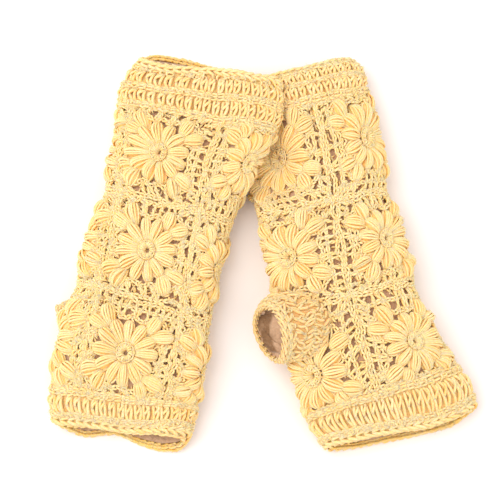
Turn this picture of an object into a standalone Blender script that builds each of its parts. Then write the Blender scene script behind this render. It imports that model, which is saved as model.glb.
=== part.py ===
"""A pair of crocheted, fleece-lined fingerless gloves lying on a flat surface.

Metres, +Z up, wrist ends towards +Y, finger ends towards -Y, resting on z = 0. The right-hand glove lies
palm up; the left-hand glove lies back up, over its own thumb sleeve and one corner of the other wrist cuff.
"""

import math

import bmesh
import bpy
import numpy as np
from mathutils import Vector
from mathutils.geometry import delaunay_2d_cdt

MM = 0.001
SHIFT_X = -5.3 * MM          # puts the pair's box over the origin
SHIFT_Y = 0.9 * MM
CROCHET = 4.0 * MM           # thickness of the crocheted layer
LINING_OUT = 5.0 * MM        # depth of the fleece's outer face below the crochet's outer face
LINING_IN = 6.8 * MM
GAP = 0.25 * MM              # half the gap between neighbouring pieces
ROW = 57.5 * MM              # length of one flower square along the glove
FLAT = 0.07                  # part of a section's height that is pressed flat underneath
EDGE_POWER = 2.7             # roundness of a section, 2 is an ellipse
AROUND = 9                   # cells round one square
ALONG = 4                    # cells along one square
SLEEVE_WALL = 2.2 * MM
SLEEVE_GAP = 0.8 * MM
THUMB_LINING = 1.0 * MM
SLEEVE_CELLS = 24

# station along the glove, x, y, half width, height, turn of the pattern round the glove: all in mm
RIGHT = {
    "stations": [
        (0, 27.0, 110.0, 39.5, 20, 6.5), (28, 33.5, 82.7, 41.5, 23, 6.5), (57, 39.8, 54.4, 42.5, 27, 5.5),
        (114, 52.0, -1.3, 43.5, 31, 0.0), (150, 61.2, -36.1, 45.2, 31, -3.0), (180, 70.0, -64.8, 47.2, 30, -4.5),
        (202, 77.6, -85.4, 47.6, 26, -5.0), (224, 85.0, -106.1, 44.0, 22, -5.0)],
    "columns": (0.0, 0.262, 0.5, 0.738, 1.0),
    "names": ("palm_right", "back_right", "back_left", "palm_left"),
    "thumb": {"around": -34.0, "under": False, "along": 152.0, "radii": (16.0, 18.5),
              "rim": (11.5, -49.5, 26.5), "normal": (-0.774, -0.269, 0.574), "major": (0.328, -0.945, 0.0),
              "rim_radii": (19.4, 14.0), "base_share": 0.9, "base_pull": 15.0, "rim_pull": 15.0},
}
LEFT = {
    "stations": [
        (0, -23.5, 106.0, 43.5, 21, -13.0), (20, -28.6, 86.7, 48.0, 24, -13.0), (57, -38.9, 51.1, 42.5, 28, -12.0),
        (92, -47.8, 17.3, 40.5, 30, -7.0), (116, -53.7, -6.0, 41.5, 30, -4.5), (172, -67.3, -60.3, 45.0, 30, -1.0),
        (200, -72.6, -87.8, 43.5, 25, 0.0), (220, -74.6, -107.7, 40.5, 22, 0.0)],
    "columns": (-0.131, 0.131, 0.377, 0.623, 0.869),
    "names": ("back_middle", "thumbless_side", "palm_middle", "thumb_side"),
    "thumb": {"around": -30.0, "under": True, "along": 149.0, "radii": (13.0, 17.0),
              "rim": (-106.0, -42.5, 6.6), "normal": (-0.96, -0.28, 0.0), "major": (0.28, -0.96, 0.0),
              "rim_radii": (16.5, 6.6), "base_share": 0.1, "base_pull": 9.0, "rim_pull": 24.0},
}
WRIST = 28.0 * MM
ROUND = 219.0 * MM           # usual length round a glove, to which the turn of the pattern is given


def smooth(t):
    """Smooth step from 0 to 1."""
    t = np.clip(t, 0.0, 1.0)
    return t * t * (3 - 2 * t)


def spline(knots, values, at):
    """Cubic through the knots with slopes of its neighbours, evaluated at the stations `at`."""
    slopes = np.gradient(values, knots)
    at = np.clip(at, knots[0], knots[-1])
    i = np.clip(np.searchsorted(knots, at) - 1, 0, len(knots) - 2)
    span = knots[i + 1] - knots[i]
    t = (at - knots[i]) / span
    return ((2 * t**3 - 3 * t**2 + 1) * values[i] + (t**3 - 2 * t**2 + t) * span * slopes[i]
            + (3 * t**2 - 2 * t**3) * values[i + 1] + (t**3 - t**2) * span * slopes[i + 1])


class Glove:
    """The shape of one glove: a flattened tube along a gently bent line on the surface."""

    def __init__(self, spec, leans):
        rows = np.array(spec["stations"], float).T * MM
        self.knots = rows[0]
        self.track = rows[1:3]
        self.half = rows[3]
        self.height = rows[4]
        self.turn = rows[5] / ROUND
        self.length = rows[0][-1]
        self.leans = leans

    def frame(self, v):
        """Place and direction of the glove's middle line at stations v."""
        x = spline(self.knots, self.track[0], v) + SHIFT_X
        y = spline(self.knots, self.track[1], v) + SHIFT_Y
        step = 1.0 * MM
        tx = spline(self.knots, self.track[0], v + step) - spline(self.knots, self.track[0], v - step)
        ty = spline(self.knots, self.track[1], v + step) - spline(self.knots, self.track[1], v - step)
        size = np.hypot(tx, ty)
        return x, y, tx / size, ty / size

    def section(self, u, v, depth):
        """Sideways and upward place of points u round the glove, where u = 0 is the top and 1 a whole turn."""
        half = spline(self.knots, self.half, v) - depth
        tall = spline(self.knots, self.height, v) - 2 * depth
        turn = spline(self.knots, self.turn, v)
        theta = np.linspace(0, 2 * math.pi, 361)
        px = np.sign(np.sin(theta)) * np.abs(np.sin(theta)) ** (2 / EDGE_POWER)
        pz = np.sign(np.cos(theta)) * np.abs(np.cos(theta)) ** (2 / EDGE_POWER)
        low = -1 + 2 * FLAT
        pz = (np.maximum(pz, low) - low) / (1 - low)
        x = np.empty(len(u))
        z = np.empty(len(u))
        for k in range(len(u)):
            sx = half[k] * px
            sz = tall[k] * pz
            run = np.concatenate([[0], np.cumsum(np.hypot(np.diff(sx), np.diff(sz)))])
            at = (u[k] + turn[k]) % 1.0 * run[-1]
            x[k] = np.interp(at, run, sx)
            z[k] = np.interp(at, run, sz)
        return x, z + depth

    def perimeter(self, v):
        """Length once round the outer face at station v."""
        u = np.linspace(0, 1, 200)
        x, z = self.section(u, np.full(200, v), np.zeros(200))
        return float(np.sum(np.hypot(np.diff(x), np.diff(z))))

    def place(self, u, v, depth):
        """World place of points at u round, v along and a depth under the outer face."""
        u, v = np.broadcast_arrays(np.asarray(u, float), np.asarray(v, float))
        depth = np.broadcast_to(depth, u.shape).astype(float)
        side, up = self.section(u, v, depth)
        x, y, tx, ty = self.frame(v)
        px = x - ty * side
        py = y + tx * side
        tall = spline(self.knots, self.height, v)
        low, high = self.leans(px, py, tall)
        return np.stack([px, py, low + up / tall * (high - low)], axis=-1)


def right_edge(y):
    """Where the right-hand glove's edge beside the other glove lies, before the shift, at a given y."""
    rows = np.array(RIGHT["stations"], float)[::-1] * MM
    return np.interp(y, rows[:, 2] + 0.23 * rows[:, 3], rows[:, 1] - 1.03 * rows[:, 3])


def right_leans(x, y, tall):
    """The right-hand glove's wrist corner is pressed thinner where the other glove lies on it."""
    x = x - SHIFT_X
    y = y - SHIFT_Y
    inward = x - right_edge(y)
    press = smooth((36 * MM - inward) / (22 * MM)) * smooth((y - 18 * MM) / (22 * MM))
    return 0 * x, tall + (np.minimum(tall, 14.0 * MM) - tall) * press


def left_leans(x, y, tall):
    """The left-hand glove rises over the other glove's wrist corner and over its own thumb sleeve."""
    x = x - SHIFT_X
    y = y - SHIFT_Y
    inward = x - right_edge(y)
    over = 15.6 * MM * smooth((inward + 14 * MM) / (20 * MM)) * smooth((y - 14 * MM) / (20 * MM))
    thumb = (smooth((-72 * MM - x) / (17 * MM)) * smooth((y + 75 * MM) / (19 * MM))
             * smooth((-10 * MM - y) / (19 * MM)))
    low = over + 11.5 * MM * thumb
    return low, tall + 0.62 * over + 4.4 * MM * thumb


def shade(name, color, roughness):
    """A plain Principled finish."""
    material = bpy.data.materials.new(name)
    material.use_nodes = True
    shader = material.node_tree.nodes["Principled BSDF"]
    shader.inputs["Base Color"].default_value = (*color, 1)
    shader.inputs["Roughness"].default_value = roughness
    return material


def solid(name, verts, faces, finish):
    """Links one closed mesh as an object with its own material."""
    mesh = bpy.data.meshes.new(name)
    mesh.from_pydata([tuple(map(float, p)) for p in verts], [], [tuple(f) for f in faces])
    work = bmesh.new()
    work.from_mesh(mesh)
    bmesh.ops.remove_doubles(work, verts=work.verts, dist=1e-6)
    bmesh.ops.recalc_face_normals(work, faces=work.faces)
    work.to_mesh(mesh)
    work.free()
    body = bpy.data.objects.new(name, mesh)
    body.data.materials.append(shade(name, *finish))
    bpy.context.scene.collection.objects.link(body)
    return body


def shell(glove, us, vs, depths, hole=None):
    """Vertices and faces of a layer of the glove between two depths, less an oval hole.

    The range is meshed flat first, then both faces are laid on the glove and closed at every free edge.
    """
    around = glove.perimeter(float(vs[0] + vs[-1]) / 2)
    points = []
    edges = []
    ring = []
    if hole:
        uc, vc, ru, rv = hole
        for k in range(SLEEVE_CELLS):
            a = 2 * math.pi * k / SLEEVE_CELLS
            ring.append((uc * around + ru * math.sin(a), vc + rv * math.cos(a)))

    def inside(p, grow):
        return bool(hole) and ((p[0] - uc * around) / (ru * grow)) ** 2 + ((p[1] - vc) / (rv * grow)) ** 2 < 1

    border = ([(u * around, vs[0]) for u in us] + [(us[-1] * around, v) for v in vs[1:]]
              + [(u * around, vs[-1]) for u in us[::-1][1:]] + [(us[0] * around, v) for v in vs[::-1][1:-1]])
    for k, p in enumerate(border):
        points.append(p)
        edges.append((k, (k + 1) % len(border)))
    for u in us[1:-1]:
        for v in vs[1:-1]:
            if not inside((u * around, v), 1.22):
                points.append((u * around, v))
    base = len(points)
    for k, p in enumerate(ring):
        points.append(p)
        edges.append((base + k, base + (k + 1) % len(ring)))
    found = delaunay_2d_cdt([Vector(p) for p in points], edges, [], 0, 1e-7)
    flat = np.array([tuple(p) for p in found[0]])
    lo = np.array([us[0] * around, vs[0]]) - 1e-7
    hi = np.array([us[-1] * around, vs[-1]]) + 1e-7
    triangles = []
    for face in found[2]:
        middle = flat[list(face)].mean(axis=0)
        if (middle > lo).all() and (middle < hi).all() and not inside(middle, 0.999):
            triangles.append(tuple(face))
    used = sorted({k for f in triangles for k in f})
    index = {k: n for n, k in enumerate(used)}
    triangles = [tuple(index[k] for k in f) for f in triangles]
    flat = flat[used]
    outer = glove.place(flat[:, 0] / around, flat[:, 1], depths[0])
    inner = glove.place(flat[:, 0] / around, flat[:, 1], depths[1])
    keys = {}
    same = []
    whole_turn = abs(us[-1] - us[0] - 1) < 1e-9
    for p in flat:
        seam_point = whole_turn and abs(p[0] - us[-1] * around) < 1e-6
        key = (round(us[0] * around if seam_point else p[0], 6), round(p[1], 6))
        same.append(keys.setdefault(key, len(keys)))
    first = [same.index(n) for n in range(len(keys))]
    outer = outer[first]
    inner = inner[first]
    triangles = [tuple(same[k] for k in f) for f in triangles]
    count = {}
    for f in triangles:
        for a, b in zip(f, f[1:] + f[:1]):
            count[(a, b)] = count.get((a, b), 0) + 1
    free = [(a, b) for (a, b) in count if (b, a) not in count]
    n = len(outer)
    faces = list(triangles)
    faces += [tuple(n + k for k in reversed(f)) for f in triangles]
    flat = flat[first]
    for a, b in free:
        across = flat[b] - flat[a]
        if across[1] > 1e-6 or (abs(across[1]) <= 1e-6 and across[0] > 0):
            faces += [(b, a, n + b), (a, n + a, n + b)]
        else:
            faces += [(b, a, n + a), (b, n + a, n + b)]
    return np.concatenate([outer, inner]), faces


class Thumb:
    """The short sleeve for the thumb, lofted from a ring on the glove to its own open rim."""

    def __init__(self, glove, spec):
        self.glove = glove
        self.spec = spec
        self.v = spec["along"] * MM
        self.around = glove.perimeter(self.v)
        turn = float(spline(glove.knots, glove.turn, np.array([self.v]))[0])
        sign = -1 if spec["under"] else 1
        self.u = spec["around"] * MM * sign / self.around - turn + (0.5 if spec["under"] else 0.0)

    def hole(self):
        """The oval cut through the layers of the glove: place round and along, and two radii."""
        ru, rv = (r * MM - 1.0 * MM for r in self.spec["radii"])
        return self.u, self.v, ru, rv

    def rings(self, inset, rows):
        """Rows of points from the base ring to the rim, at an inset inside the sleeve's outer face."""
        s = self.spec
        a = np.linspace(0, 2 * math.pi, SLEEVE_CELLS, endpoint=False)
        ru, rv = (r * MM - inset for r in s["radii"])
        base = self.glove.place(self.u + ru * np.sin(a) / self.around, self.v + rv * np.cos(a), -0.6 * MM)
        lid = self.glove.place(np.full(2, self.u), np.full(2, self.v), np.array([-2 * MM, 0.0]))
        out = (lid[0] - lid[1]) / np.linalg.norm(lid[0] - lid[1])
        normal = np.array(s["normal"]) / np.linalg.norm(s["normal"])
        major = np.array(s["major"])
        minor = np.cross(normal, major)
        if s["under"]:
            minor = np.array([0.0, 0.0, 1.0])
        r1, r2 = (r * MM - inset for r in s["rim_radii"])
        rim = (np.array(s["rim"]) * MM + np.array([SHIFT_X, SHIFT_Y, 0])
               + np.outer(np.cos(a) * r1, major) + np.outer(np.sin(a) * r2, minor))
        t = np.linspace(0, 1, rows)[:, None, None]
        gap = np.linalg.norm(rim - base, axis=1)[:, None]
        pull = np.minimum(gap * s["base_share"], s["base_pull"] * MM) * out
        push = np.minimum(gap * 1.2, s["rim_pull"] * MM) * normal
        return ((2 * t**3 - 3 * t**2 + 1) * base + (t**3 - 2 * t**2 + t) * pull
                + (3 * t**2 - 2 * t**3) * rim + (t**3 - t**2) * push)

    def tube(self, outer, inner, rows=6):
        """Vertices and faces of the sleeve's wall between two insets."""
        n = SLEEVE_CELLS
        verts = np.concatenate([self.rings(outer, rows).reshape(-1, 3), self.rings(inner, rows).reshape(-1, 3)])
        faces = []
        deep = rows * n
        for r in range(rows - 1):
            for k in range(n):
                a, b = r * n + k, r * n + (k + 1) % n
                faces.append((a, b, b + n, a + n))
                faces.append((deep + b, deep + a, deep + a + n, deep + b + n))
        for k in range(n):
            a, b = k, (k + 1) % n
            faces.append((b, a, deep + a, deep + b))
            top = (rows - 1) * n
            faces.append((top + a, top + b, deep + top + b, deep + top + a))
        return verts, faces


def build(side, spec, leans):
    """All the pieces of one glove."""
    glove = Glove(spec, leans)
    thumb = Thumb(glove, spec["thumb"])
    wool = ((0.86, 0.66, 0.32), 0.85)
    cuff_wool = ((0.84, 0.63, 0.29), 0.88)
    sleeve_wool = ((0.76, 0.58, 0.29), 0.9)
    fleece = ((0.42, 0.27, 0.19), 0.95)
    columns = spec["columns"]
    rounds = [np.linspace(a, b, AROUND + 1) for a, b in zip(columns, columns[1:])]
    lengths = [WRIST + row * ROW + np.linspace(0, ROW, ALONG + 1) for row in range(3)]
    u, v, ru, rv = thumb.hole()
    u += math.floor(columns[0] + 1 - u)
    reach = ru / thumb.around
    for row in range(3):
        for k, column in enumerate(spec["names"]):
            us = rounds[k].copy()
            vs = lengths[row].copy()
            us[0] += GAP / ROUND
            us[-1] -= GAP / ROUND
            vs[0] += GAP
            vs[-1] -= GAP
            near = us[0] < u + reach and u - reach < us[-1] and vs[0] < v + rv and v - rv < vs[-1]
            verts, faces = shell(glove, us, vs, (0.0, CROCHET), (u, v, ru, rv) if near else None)
            solid(f"{side}_square_{column}_{row + 1}", verts, faces, wool)
    us = np.concatenate([rounds[0]] + [r[1:] for r in rounds[1:]])
    verts, faces = shell(glove, us, np.linspace(0.0, WRIST - GAP, 3), (0.0, CROCHET))
    solid(f"{side}_wrist_cuff", verts, faces, cuff_wool)
    end = lengths[2][-1]
    verts, faces = shell(glove, us, np.linspace(end + GAP, glove.length, 3), (0.0, CROCHET))
    solid(f"{side}_finger_cuff", verts, faces, cuff_wool)
    vs = np.concatenate([[4 * MM, 14 * MM], lengths[0], lengths[1][1:], lengths[2][1:],
                         [(end + glove.length) / 2, glove.length - 3 * MM]])
    verts, faces = shell(glove, us, vs, (LINING_OUT, LINING_IN), (u, v, ru, rv))
    solid(f"{side}_hand_lining", verts, faces, fleece)
    verts, faces = thumb.tube(0.0, SLEEVE_WALL)
    solid(f"{side}_thumb_sleeve", verts, faces, sleeve_wool)
    inset = SLEEVE_WALL + SLEEVE_GAP
    verts, faces = thumb.tube(inset, inset + THUMB_LINING)
    solid(f"{side}_thumb_lining", verts, faces, fleece)


for thing in list(bpy.data.objects):
    bpy.data.objects.remove(thing, do_unlink=True)
build("right", RIGHT, right_leans)
build("left", LEFT, left_leans)
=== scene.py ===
"""Looks of a pair of crocheted, fleece-lined fingerless gloves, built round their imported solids.

Every surface is laid out flat in stitches first, as it would be worked, and then laid on the glove's form.
"""

import logging
import math
from dataclasses import dataclass
from enum import Enum

import bpy
import numpy as np
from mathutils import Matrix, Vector


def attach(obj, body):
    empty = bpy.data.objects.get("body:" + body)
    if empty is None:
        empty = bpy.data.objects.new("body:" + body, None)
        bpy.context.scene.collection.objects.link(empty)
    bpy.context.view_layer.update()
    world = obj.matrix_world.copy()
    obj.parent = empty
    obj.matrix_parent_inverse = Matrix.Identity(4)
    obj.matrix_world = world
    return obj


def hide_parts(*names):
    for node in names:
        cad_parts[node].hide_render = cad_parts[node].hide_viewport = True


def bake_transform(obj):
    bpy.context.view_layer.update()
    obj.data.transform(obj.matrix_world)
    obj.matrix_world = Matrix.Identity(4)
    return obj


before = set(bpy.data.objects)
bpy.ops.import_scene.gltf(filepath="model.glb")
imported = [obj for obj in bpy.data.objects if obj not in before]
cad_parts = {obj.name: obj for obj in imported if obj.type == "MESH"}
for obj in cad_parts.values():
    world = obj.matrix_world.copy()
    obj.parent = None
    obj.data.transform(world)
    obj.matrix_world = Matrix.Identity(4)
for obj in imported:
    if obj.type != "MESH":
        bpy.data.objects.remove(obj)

LOG = logging.getLogger("gloves")
MM = 0.001
TURN = 2 * math.pi

Array = np.ndarray
Rng = np.random.Generator
Pairs = tuple[tuple[float, float], ...]
Triple = tuple[float, float, float]
Oval = tuple[float, float, float, float]
Material = bpy.types.Material
Tree = bpy.types.NodeTree
Socket = bpy.types.NodeSocket

# The whole pair is moved by this much, so that it lies round the middle of the floor.
SHIFT = np.array([-5.3, 0.9, 0.0]) * MM
# The hand lining's faces, and the squares' and cuffs' places along and round the glove.
LINING_OUT = 5.0 * MM
LINING_IN = 6.8 * MM
ROW = 57.5 * MM
WRIST = 28.0 * MM
ROUND = 219.0 * MM
# The glove's section: an oval with full edges and a flat underside.
FLAT = 0.07
EDGE_POWER = 2.7
# Strands lower than the first height settle softly, and none lies lower than the second.
FLOOR_SOFT = 2.6 * MM
FLOOR_LEAST = 0.75 * MM
# How the left glove's wrist lies on the right one's, and on its own thumb sleeve.
PRESSED = 14.0 * MM
LIFTED = 15.6 * MM
LIFTED_TOP = 0.62
THUMB_UNDER = 11.5 * MM
THUMB_TOP = 4.4 * MM
# Yarn radii in millimetres.
PUFF_YARN = 0.71
MESH_YARN = 0.70
KNOT_YARN = 0.72
TONE_SPREAD = 0.2
# A strand's ends are this share of its thickness, and its loose fibres have this radius.
END_SHARE = 0.45
FIBRE = 0.055 * MM
# Length of yarn, in millimetres, that each point of a puff's core stands for.
CORE_STEP = 1.4

# Station, place across, place along, half width, height and turn of the squares, in millimetres.
RIGHT_STATIONS = (
    (0, 27.0, 110.0, 39.5, 20, 6.5), (28, 33.5, 82.7, 41.5, 23, 6.5), (57, 39.8, 54.4, 42.5, 27, 5.5),
    (114, 52.0, -1.3, 43.5, 31, 0.0), (150, 61.2, -36.1, 45.2, 31, -3.0), (180, 70.0, -64.8, 47.2, 30, -4.5),
    (202, 77.6, -85.4, 47.6, 26, -5.0), (224, 85.0, -106.1, 44.0, 22, -5.0),
)
LEFT_STATIONS = (
    (0, -23.5, 106.0, 43.5, 21, -13.0), (20, -28.6, 86.7, 48.0, 24, -13.0), (57, -38.9, 51.1, 42.5, 28, -12.0),
    (92, -47.8, 17.3, 40.5, 30, -7.0), (116, -53.7, -6.0, 41.5, 30, -4.5), (172, -67.3, -60.3, 45.0, 30, -1.0),
    (200, -72.6, -87.8, 43.5, 25, 0.0), (220, -74.6, -107.7, 40.5, 22, 0.0),
)


class Side(Enum):
    """Which hand a glove is for."""

    RIGHT = "right"
    LEFT = "left"


@dataclass(frozen=True)
class ThumbSpec:
    """Where a thumb sleeve leaves its glove and where its rim lies, in millimetres.

    The pulls say how far its wall keeps straight on from its foot and into its rim, gather draws the rim out to a
    corner, and almond sharpens both its ends.
    """

    around: float
    under: bool
    along: float
    radii: tuple[float, float]
    rim: Triple
    normal: Triple
    major: Triple
    rim_radii: tuple[float, float]
    base_share: float
    base_pull: float
    rim_pull: float
    gather: float = 0.0
    almond: float = 1.0


@dataclass(frozen=True)
class Drape:
    """How a glove's soft ends and edges lie off the plain tube.

    Ends are (place across from -1 at the left edge to 1 at the right, millimetres outwards) pairs, edges are
    (station, millimetres outwards) pairs, and the press is (place across, share of the height kept) pairs.
    The skew and the cuff's pull are millimetres, fading at stations along the glove.
    """

    wrist_top: Pairs
    wrist_under: Pairs
    finger_top: Pairs
    finger_under: Pairs
    right_edge: Pairs
    left_edge: Pairs
    press: Pairs
    wrist_reach: float = 30.0
    finger_reach: float = 36.0
    wrist_skew: float = 0.0
    skew_reach: float = 75.0
    skew_fade: float = 60.0
    cuff_pull: float = 0.0
    pull_full: float = 26.0
    pull_end: float = 64.0

    def shift(self, v: float, length: float, across: Array, up: Array) -> tuple[Array, Array]:
        """Moves of points towards the fingers and sideways.

        Args:
            v: station in metres.
            length: the glove's length in metres.
            across: place across from -1 to 1.
            up: 0 on the underside and 1 on top.
        Returns:
            Metres towards the fingers and metres to the right.
        """
        mm = v / MM
        top = smooth(np.clip(up, 0, 1))
        wrist = float(smooth(np.array((self.wrist_reach - mm) / self.wrist_reach)))
        finger = float(smooth(np.array((mm - length / MM + self.finger_reach) / self.finger_reach)))
        back = mix(table(self.wrist_under, across), table(self.wrist_top, across), top)
        ahead = mix(table(self.finger_under, across), table(self.finger_top, across), top)
        skew = self.wrist_skew * across * float(smooth(np.array((self.skew_reach - mm) / self.skew_fade)))
        fade = smooth(np.array((self.pull_end - mm) / 36.0))
        pull = self.cuff_pull * float(smooth(np.array(mm / self.pull_full)) * fade)
        along = (finger * ahead - wrist * back - skew - pull) * MM
        grip = smooth((np.abs(across) - 0.3) / 0.7)
        right = table(self.right_edge, np.array(mm)) * (across > 0)
        left = table(self.left_edge, np.array(mm)) * (across < 0)
        return along, (right - left) * grip * MM

    def kept(self, v: float, length: float, across: Array) -> Array:
        """Share of the height kept at a station near the finger end.

        Args:
            v: station in metres.
            length: the glove's length in metres.
            across: place across from -1 to 1.
        Returns:
            The share for each place.
        """
        finger = float(smooth(np.array((v - length) / MM / self.finger_reach + 1)))
        return 1 - finger * (1 - table(self.press, across))


def table(pairs: Pairs, at: Array) -> Array:
    """Reads a table of pairs between its rows."""
    rows = np.array(pairs, float)
    return np.interp(at, rows[:, 0], rows[:, 1])


def mix(a: Array, b: Array, share: Array) -> Array:
    """Between a at 0 and b at 1."""
    return a + (b - a) * share


RIGHT_DRAPE = Drape(
    wrist_top=((-1, 0), (0.2, -0.6), (0.6, 0.8), (0.85, 0.6), (1, -1.8)),
    wrist_under=((-1, 0), (0, -1.5), (0.8, -3.0), (1, -5.0)),
    finger_top=((-1, -7.6), (-0.5, -4.5), (0, -0.6), (0.4, 2.2), (0.75, 2.5), (1, -0.6)),
    finger_under=((-1, -5.8), (-0.85, -4.0), (-0.31, 0.4), (0.15, 2.8), (0.4, 4.4), (0.62, 5.4), (0.92, 1.0),
                  (1, -1.0)),
    right_edge=((0, 0), (15, 0), (24, -2.0), (33, -1.2), (45, -2.5), (57, -3.0), (70, -4.0), (84, -6.5),
                (97, -4.6), (110, -3.6), (120, -4.6), (132, -4.4), (145, -7.6), (157, -7.4), (167, -5.4),
                (176, -5.2), (186, -4.4), (195, -3.2), (204, -0.8), (213, 2.8), (224, 3.8)),
    left_edge=((0, 0), (224, 0)),
    press=((-1, 0.8), (0, 0.62), (0.5, 0.6), (1, 0.8)),
    cuff_pull=6.0,
)
LEFT_DRAPE = Drape(
    wrist_top=((-1, 0.9), (-0.57, 0.1), (-0.3, 1.2), (0, 3.0), (0.35, 1.8), (0.62, 1.0), (0.85, 2.2),
               (1, -0.5)),
    wrist_under=((-1, 8.0), (-0.8, 12.3), (-0.4, 12.4), (-0.05, 9.6), (0.25, 6.1), (0.5, 1.7), (1, 2.5)),
    finger_top=((-1, -5.5), (-0.86, -3.4), (-0.5, -3.6), (0, -3.0), (0.3, -3.0), (0.6, -4.0), (0.8, -4.6),
                (1, -6.0)),
    finger_under=((-1, -5.5), (-0.86, -2.6), (-0.5, 1.0), (-0.29, -0.6), (-0.07, -2.2), (0.3, 2.4), (0.6, 5.0),
                  (0.86, 4.4), (1, -3.5)),
    right_edge=((0, 0), (40, 0), (75, -2.0), (110, -3.6), (145, -3.0), (190, 0), (220, 1.0)),
    left_edge=((0, 2.0), (15, 3.4), (26, 1.4), (40, 0.4), (57, 1.4), (66, 2.6), (84, 0.8), (100, 1.6), (114, 2.6),
               (134, 0.8), (145, -3.0), (160, -1.0), (172, -2.0), (190, -0.6), (220, -1.0)),
    press=((-1, 0.9), (-0.6, 0.75), (0.05, 0.42), (0.35, 0.55), (0.7, 1.05), (1, 0.95)),
    wrist_skew=3.5,
)

RIGHT_THUMB = ThumbSpec(
    around=-34.0, under=False, along=152.0, radii=(16.0, 18.5), rim=(11.5, -49.5, 26.5),
    normal=(-0.774, -0.269, 0.574), major=(0.328, -0.945, 0.0), rim_radii=(20.6, 14.0), base_share=0.9,
    base_pull=15.0, rim_pull=15.0, gather=5.4, almond=1.35)
LEFT_THUMB = ThumbSpec(
    around=-30.0, under=True, along=149.0, radii=(13.0, 17.0), rim=(-107.4, -45.0, 6.6),
    normal=(-0.96, -0.28, 0.0), major=(0.28, -0.96, 0.0), rim_radii=(14.6, 6.6), base_share=0.1, base_pull=9.0,
    rim_pull=24.0)

# How far each flower's centre lies off its square's, across and along, in millimetres: by row, then by square.
ROW_SHIFTS = ((0.0, -1.5), (0.0, 0.8), (0.0, 4.0))
RIGHT_SHIFTS = {
    ("palm_left", 0): (-4.0, -4.0), ("palm_left", 1): (-6.6, -1.4), ("palm_left", 2): (-6.4, 7.2),
    ("palm_right", 0): (5.4, -3.4), ("palm_right", 1): (4.2, 1.0), ("palm_right", 2): (4.2, 7.4),
}
LEFT_SHIFTS = {
    ("back_middle", 0): (-5.6, -0.6), ("back_middle", 1): (-2.4, 0.6), ("back_middle", 2): (-1.6, 3.6),
    ("thumbless_side", 0): (3.0, -6.0),
}


def smooth(t: Array) -> Array:
    """Smooth step from 0 to 1."""
    t = np.clip(t, 0.0, 1.0)
    return t * t * (3 - 2 * t)


def unit(a: Array) -> Array:
    """Vectors scaled to length 1 along the last axis."""
    return a / np.maximum(np.linalg.norm(a, axis=-1, keepdims=True), 1e-12)


def spline(knots: Array, values: Array, at: Array) -> Array:
    """Cubic through the knots.

    Args:
        knots: rising stations.
        values: the value at each station.
        at: where to read it, held to the knots' range.
    Returns:
        The values there.
    """
    slopes = np.gradient(values, knots)
    at = np.clip(at, knots[0], knots[-1])
    i = np.clip(np.searchsorted(knots, at) - 1, 0, len(knots) - 2)
    span = knots[i + 1] - knots[i]
    t = (at - knots[i]) / span
    return ((2 * t**3 - 3 * t**2 + 1) * values[i] + (t**3 - 2 * t**2 + t) * span * slopes[i]
            + (3 * t**2 - 2 * t**3) * values[i + 1] + (t**3 - t**2) * span * slopes[i + 1])


def right_edge(y: Array) -> Array:
    """Where the right-hand glove's edge beside the other glove lies at a given y, before the shift."""
    rows = np.array(RIGHT_STATIONS, float)[::-1] * MM
    return np.interp(y, rows[:, 2] + 0.23 * rows[:, 3], rows[:, 1] - 1.03 * rows[:, 3])


def lean(side: Side, x: Array, y: Array, tall: Array) -> tuple[Array, Array]:
    """How high the glove's underside and top lie at a place, from what is under it or on it.

    Args:
        side: which glove.
        x: place across, with the shift.
        y: place along, with the shift.
        tall: the glove's own height there.
    Returns:
        Height of the underside and of the top.
    """
    x = x - SHIFT[0]
    y = y - SHIFT[1]
    inward = x - right_edge(y)
    if side is Side.RIGHT:
        press = smooth((36 * MM - inward) / (22 * MM)) * smooth((y - 18 * MM) / (22 * MM))
        return 0 * x, tall + (np.minimum(tall, PRESSED) - tall) * press
    over = LIFTED * smooth((inward + 14 * MM) / (20 * MM)) * smooth((y - 14 * MM) / (20 * MM))
    thumb = (smooth((-72 * MM - x) / (17 * MM)) * smooth((y + 75 * MM) / (19 * MM))
             * smooth((-10 * MM - y) / (19 * MM)))
    return over + THUMB_UNDER * thumb, tall + LIFTED_TOP * over + THUMB_TOP * thumb


class Form:
    depths: Array
    alongs: Array
    places: Array

    def lay(self, u: Array, v: Array, depth: Array) -> Array:
        """Places of points on the form.

        Args:
            u: turns around.
            v: place along.
            depth: depth under the outer face.
        Returns:
            World places, one row of three for each point.
        """
        g = self.places
        nd, nv, nu, _ = g.shape
        fu = (u % 1.0) * nu
        fv = np.clip((v - self.alongs[0]) / (self.alongs[1] - self.alongs[0]), 0, nv - 1.0001)
        fd = np.clip((depth - self.depths[0]) / (self.depths[1] - self.depths[0]), 0, nd - 1.0001)
        iu = np.floor(fu).astype(int)
        iv = np.floor(fv).astype(int)
        i_d = np.floor(fd).astype(int)
        tu = (fu - iu)[..., None]
        tv = (fv - iv)[..., None]
        td = (fd - i_d)[..., None]
        iu = iu % nu
        ju = (iu + 1) % nu

        def layer(k: Array) -> Array:
            """Places on one depth layer."""
            low = g[k, iv, iu] * (1 - tu) + g[k, iv, ju] * tu
            high = g[k, iv + 1, iu] * (1 - tu) + g[k, iv + 1, ju] * tu
            return low * (1 - tv) + high * tv

        return layer(i_d) * (1 - td) + layer(i_d + 1) * td

    def place(self, u: Array, v: Array, height: Array) -> tuple[Array, Array]:
        """Places and outward directions of points at a height over the fleece.

        Args:
            u: turns around.
            v: place along.
            height: height over the fleece's outer face.
        Returns:
            World places and outward directions.
        """
        depth = LINING_OUT - height
        here = self.lay(u, v, depth)
        out = unit(self.lay(u, v, depth - 0.7 * MM) - self.lay(u, v, depth + 0.7 * MM))
        return here, out


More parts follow.
